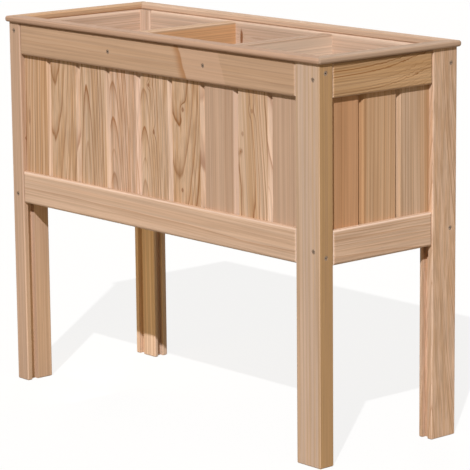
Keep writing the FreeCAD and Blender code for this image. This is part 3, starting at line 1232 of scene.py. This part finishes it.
@dataclass(frozen=True)
class FarLamp:
    """A lamp far off, with parallel light. Angles are in degrees.

    Attributes:
        spread: Its width in the sky, which softens its shadows.
        side: How far round to the right of the front it stands.
        height: How high it stands.
        shine: Whether it shows in the sheen of the wood.
    """

    name: str
    strength: float
    spread: float
    side: float
    height: float
    shine: bool = True

    def build(self) -> None:
        """Builds the lamp."""
        bpy.ops.object.light_add(type="SUN", rotation=looking(self.side, self.height))
        lamp = bpy.context.object
        lamp.name = self.name
        lamp.data.energy = self.strength
        lamp.data.angle = math.radians(self.spread)
        lamp.visible_glossy = self.shine


@dataclass(frozen=True)
class LowLamp:
    """A small lamp under the bed, like sunlight that comes up off warm ground. Lengths are in metres."""

    name: str
    place: tuple[float, float, float]
    aim: Axis
    power: float
    colour: tuple[float, float, float]
    size: tuple[float, float] = (0.12, 0.30)

    def build(self) -> None:
        """Builds the lamp, which is not seen itself."""
        turn = self.aim.way.to_track_quat("-Z", "Y").to_euler()
        bpy.ops.object.light_add(type="AREA", location=self.place, rotation=turn)
        lamp = bpy.context.object
        lamp.name = self.name
        lamp.data.shape = "RECTANGLE"
        lamp.data.size, lamp.data.size_y = self.size
        lamp.data.energy = self.power
        lamp.data.color = self.colour
        lamp.visible_camera = False
        lamp.visible_glossy = False


@dataclass
class Studio:
    """A plain pale floor, a key light, softer lamps for the shade and a white surround.

    Attributes:
        floor_width: The floor's width in metres.
        floor_glow: The share of the floor's white that doesn't depend on the lamps.
        floor_bounce: The linear colour in which the floor sends light back up at the bed.
        fill: The strength of the light from all round.
        fill_colour: The linear colour of the light from all round.
        lamps: The key light, a low soft one for the sides that it leaves in shade, and two under the bed.
    """

    floor_width: float = 60.0
    floor_glow: float = 0.85
    floor_bounce: Colour = (0.30, 0.25, 0.17, 1.0)
    fill: float = 0.27
    fill_colour: Colour = (1.0, 0.84, 0.60, 1.0)
    lamps: tuple[FarLamp | LowLamp, ...] = (
        FarLamp("key_light", strength=3.47, spread=0.6, side=38.5, height=39.4),
        FarLamp("back_light", strength=1.25, spread=20.0, side=222.0, height=7.0, shine=False),
        LowLamp("rear_leg_light", (-0.40, -0.12, 0.20), Axis.REAR, 0.32, (1.0, 0.74, 0.28)),
        LowLamp("front_leg_light", (-0.25, -0.18, 0.15), Axis.LEFT, 0.12, (1.0, 0.85, 0.40)),
    )

    def build(self) -> None:
        """Builds the floor, the lamps and the world."""
        self.add_floor()
        for lamp in self.lamps:
            lamp.build()
        self.add_world()
        bpy.context.scene.view_settings.view_transform = "Standard"
        LOG.info("studio built")

    def add_floor(self) -> None:
        """Adds the floor, which looks white but keeps a soft shadow."""
        select_only()
        bpy.ops.mesh.primitive_plane_add(size=self.floor_width)
        floor = bpy.context.object
        floor.name = "studio_floor"
        surface = Surface("studio_floor")
        lamplit = 1 - self.floor_glow
        matt = surface.node("ShaderNodeBsdfDiffuse", {"Color": self.floor_bounce})
        pale = surface.node("ShaderNodeBsdfDiffuse", {"Color": (lamplit, lamplit, lamplit, 1.0)})
        glow = surface.node("ShaderNodeEmission", {"Strength": self.floor_glow})
        lit = surface.node("ShaderNodeAddShader", {0: pale.outputs[0], 1: glow.outputs[0]})
        wear(floor, surface.cover(show_to_view(surface, matt, lit)))

    def add_world(self) -> None:
        """Adds the light from all round, and white behind everything that the camera sees."""
        world = bpy.data.worlds.new("studio")
        bpy.context.scene.world = world
        world.use_nodes = True
        world.node_tree.nodes.clear()
        graph = Graph(world.node_tree)
        soft = graph.node("ShaderNodeBackground", {"Color": self.fill_colour, "Strength": self.fill})
        white = graph.node("ShaderNodeBackground", {"Color": WHITE})
        graph.node("ShaderNodeOutputWorld", {"Surface": show_to_view(graph, soft, white).outputs[0]})


def show_to_view(graph: Graph, light: Node, view: Node) -> Node:
    """Mixes two shaders, one for the light on the object and one for what the camera sees.

    Args:
        graph: The nodes to add to.
        light: The shader that sends light to the object.
        view: The shader that is looked at straight, in metal or through glass.

    Returns:
        The mixed shader.
    """
    path = graph.node("ShaderNodeLightPath").outputs
    seen = graph.math("MAXIMUM", path["Is Camera Ray"], path["Is Glossy Ray"])
    seen = graph.math("MAXIMUM", seen, path["Is Transmission Ray"])
    return graph.node("ShaderNodeMixShader", {"Fac": seen, 1: light.outputs[0], 2: view.outputs[0]})


@dataclass
class PhotoCamera:
    """A camera at the photograph's place, without shift. Lengths are in metres and angles in degrees.

    Attributes:
        side: How far it looks to the left of straight back.
        focal_pixels: The focal length in pixels of the square picture.
        picture_pixels: The picture's width in pixels.
        sensor: The sensor's width in millimetres.
        sight: How far it sees.
    """

    place: tuple[float, float, float] = (4.2674, -3.7045, 1.5309)
    side: float = 48.826
    down: float = 11.484
    roll: float = -0.577
    focal_pixels: float = 2637.9
    picture_pixels: float = 470.0
    sensor: float = 36.0
    sight: float = 200.0

    def build(self) -> None:
        """Builds the camera."""
        turn = looking(self.side, self.down, self.roll)
        bpy.ops.object.camera_add(location=self.place, rotation=turn)
        camera = bpy.context.object
        camera.name = "photo_camera"
        camera.data.sensor_width = self.sensor
        camera.data.lens = self.focal_pixels / self.picture_pixels * self.sensor
        camera.data.clip_end = self.sight
        bpy.context.scene.camera = camera
        LOG.info("camera placed")


def main() -> None:
    """Dresses every piece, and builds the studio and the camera."""
    logging.basicConfig(level=logging.INFO, format="%(name)s: %(message)s")
    larch = LarchFinish()
    woodwork = (Legs(larch), Rails(larch), Walls(larch), Rim(larch), Inside(larch))
    for part in (*woodwork, Dowels(BeechFinish())):
        part.dress()
    Screws(ZincFinish()).build()
    Studio().build()
    PhotoCamera().build()


if __name__ == "__main__":
    main()
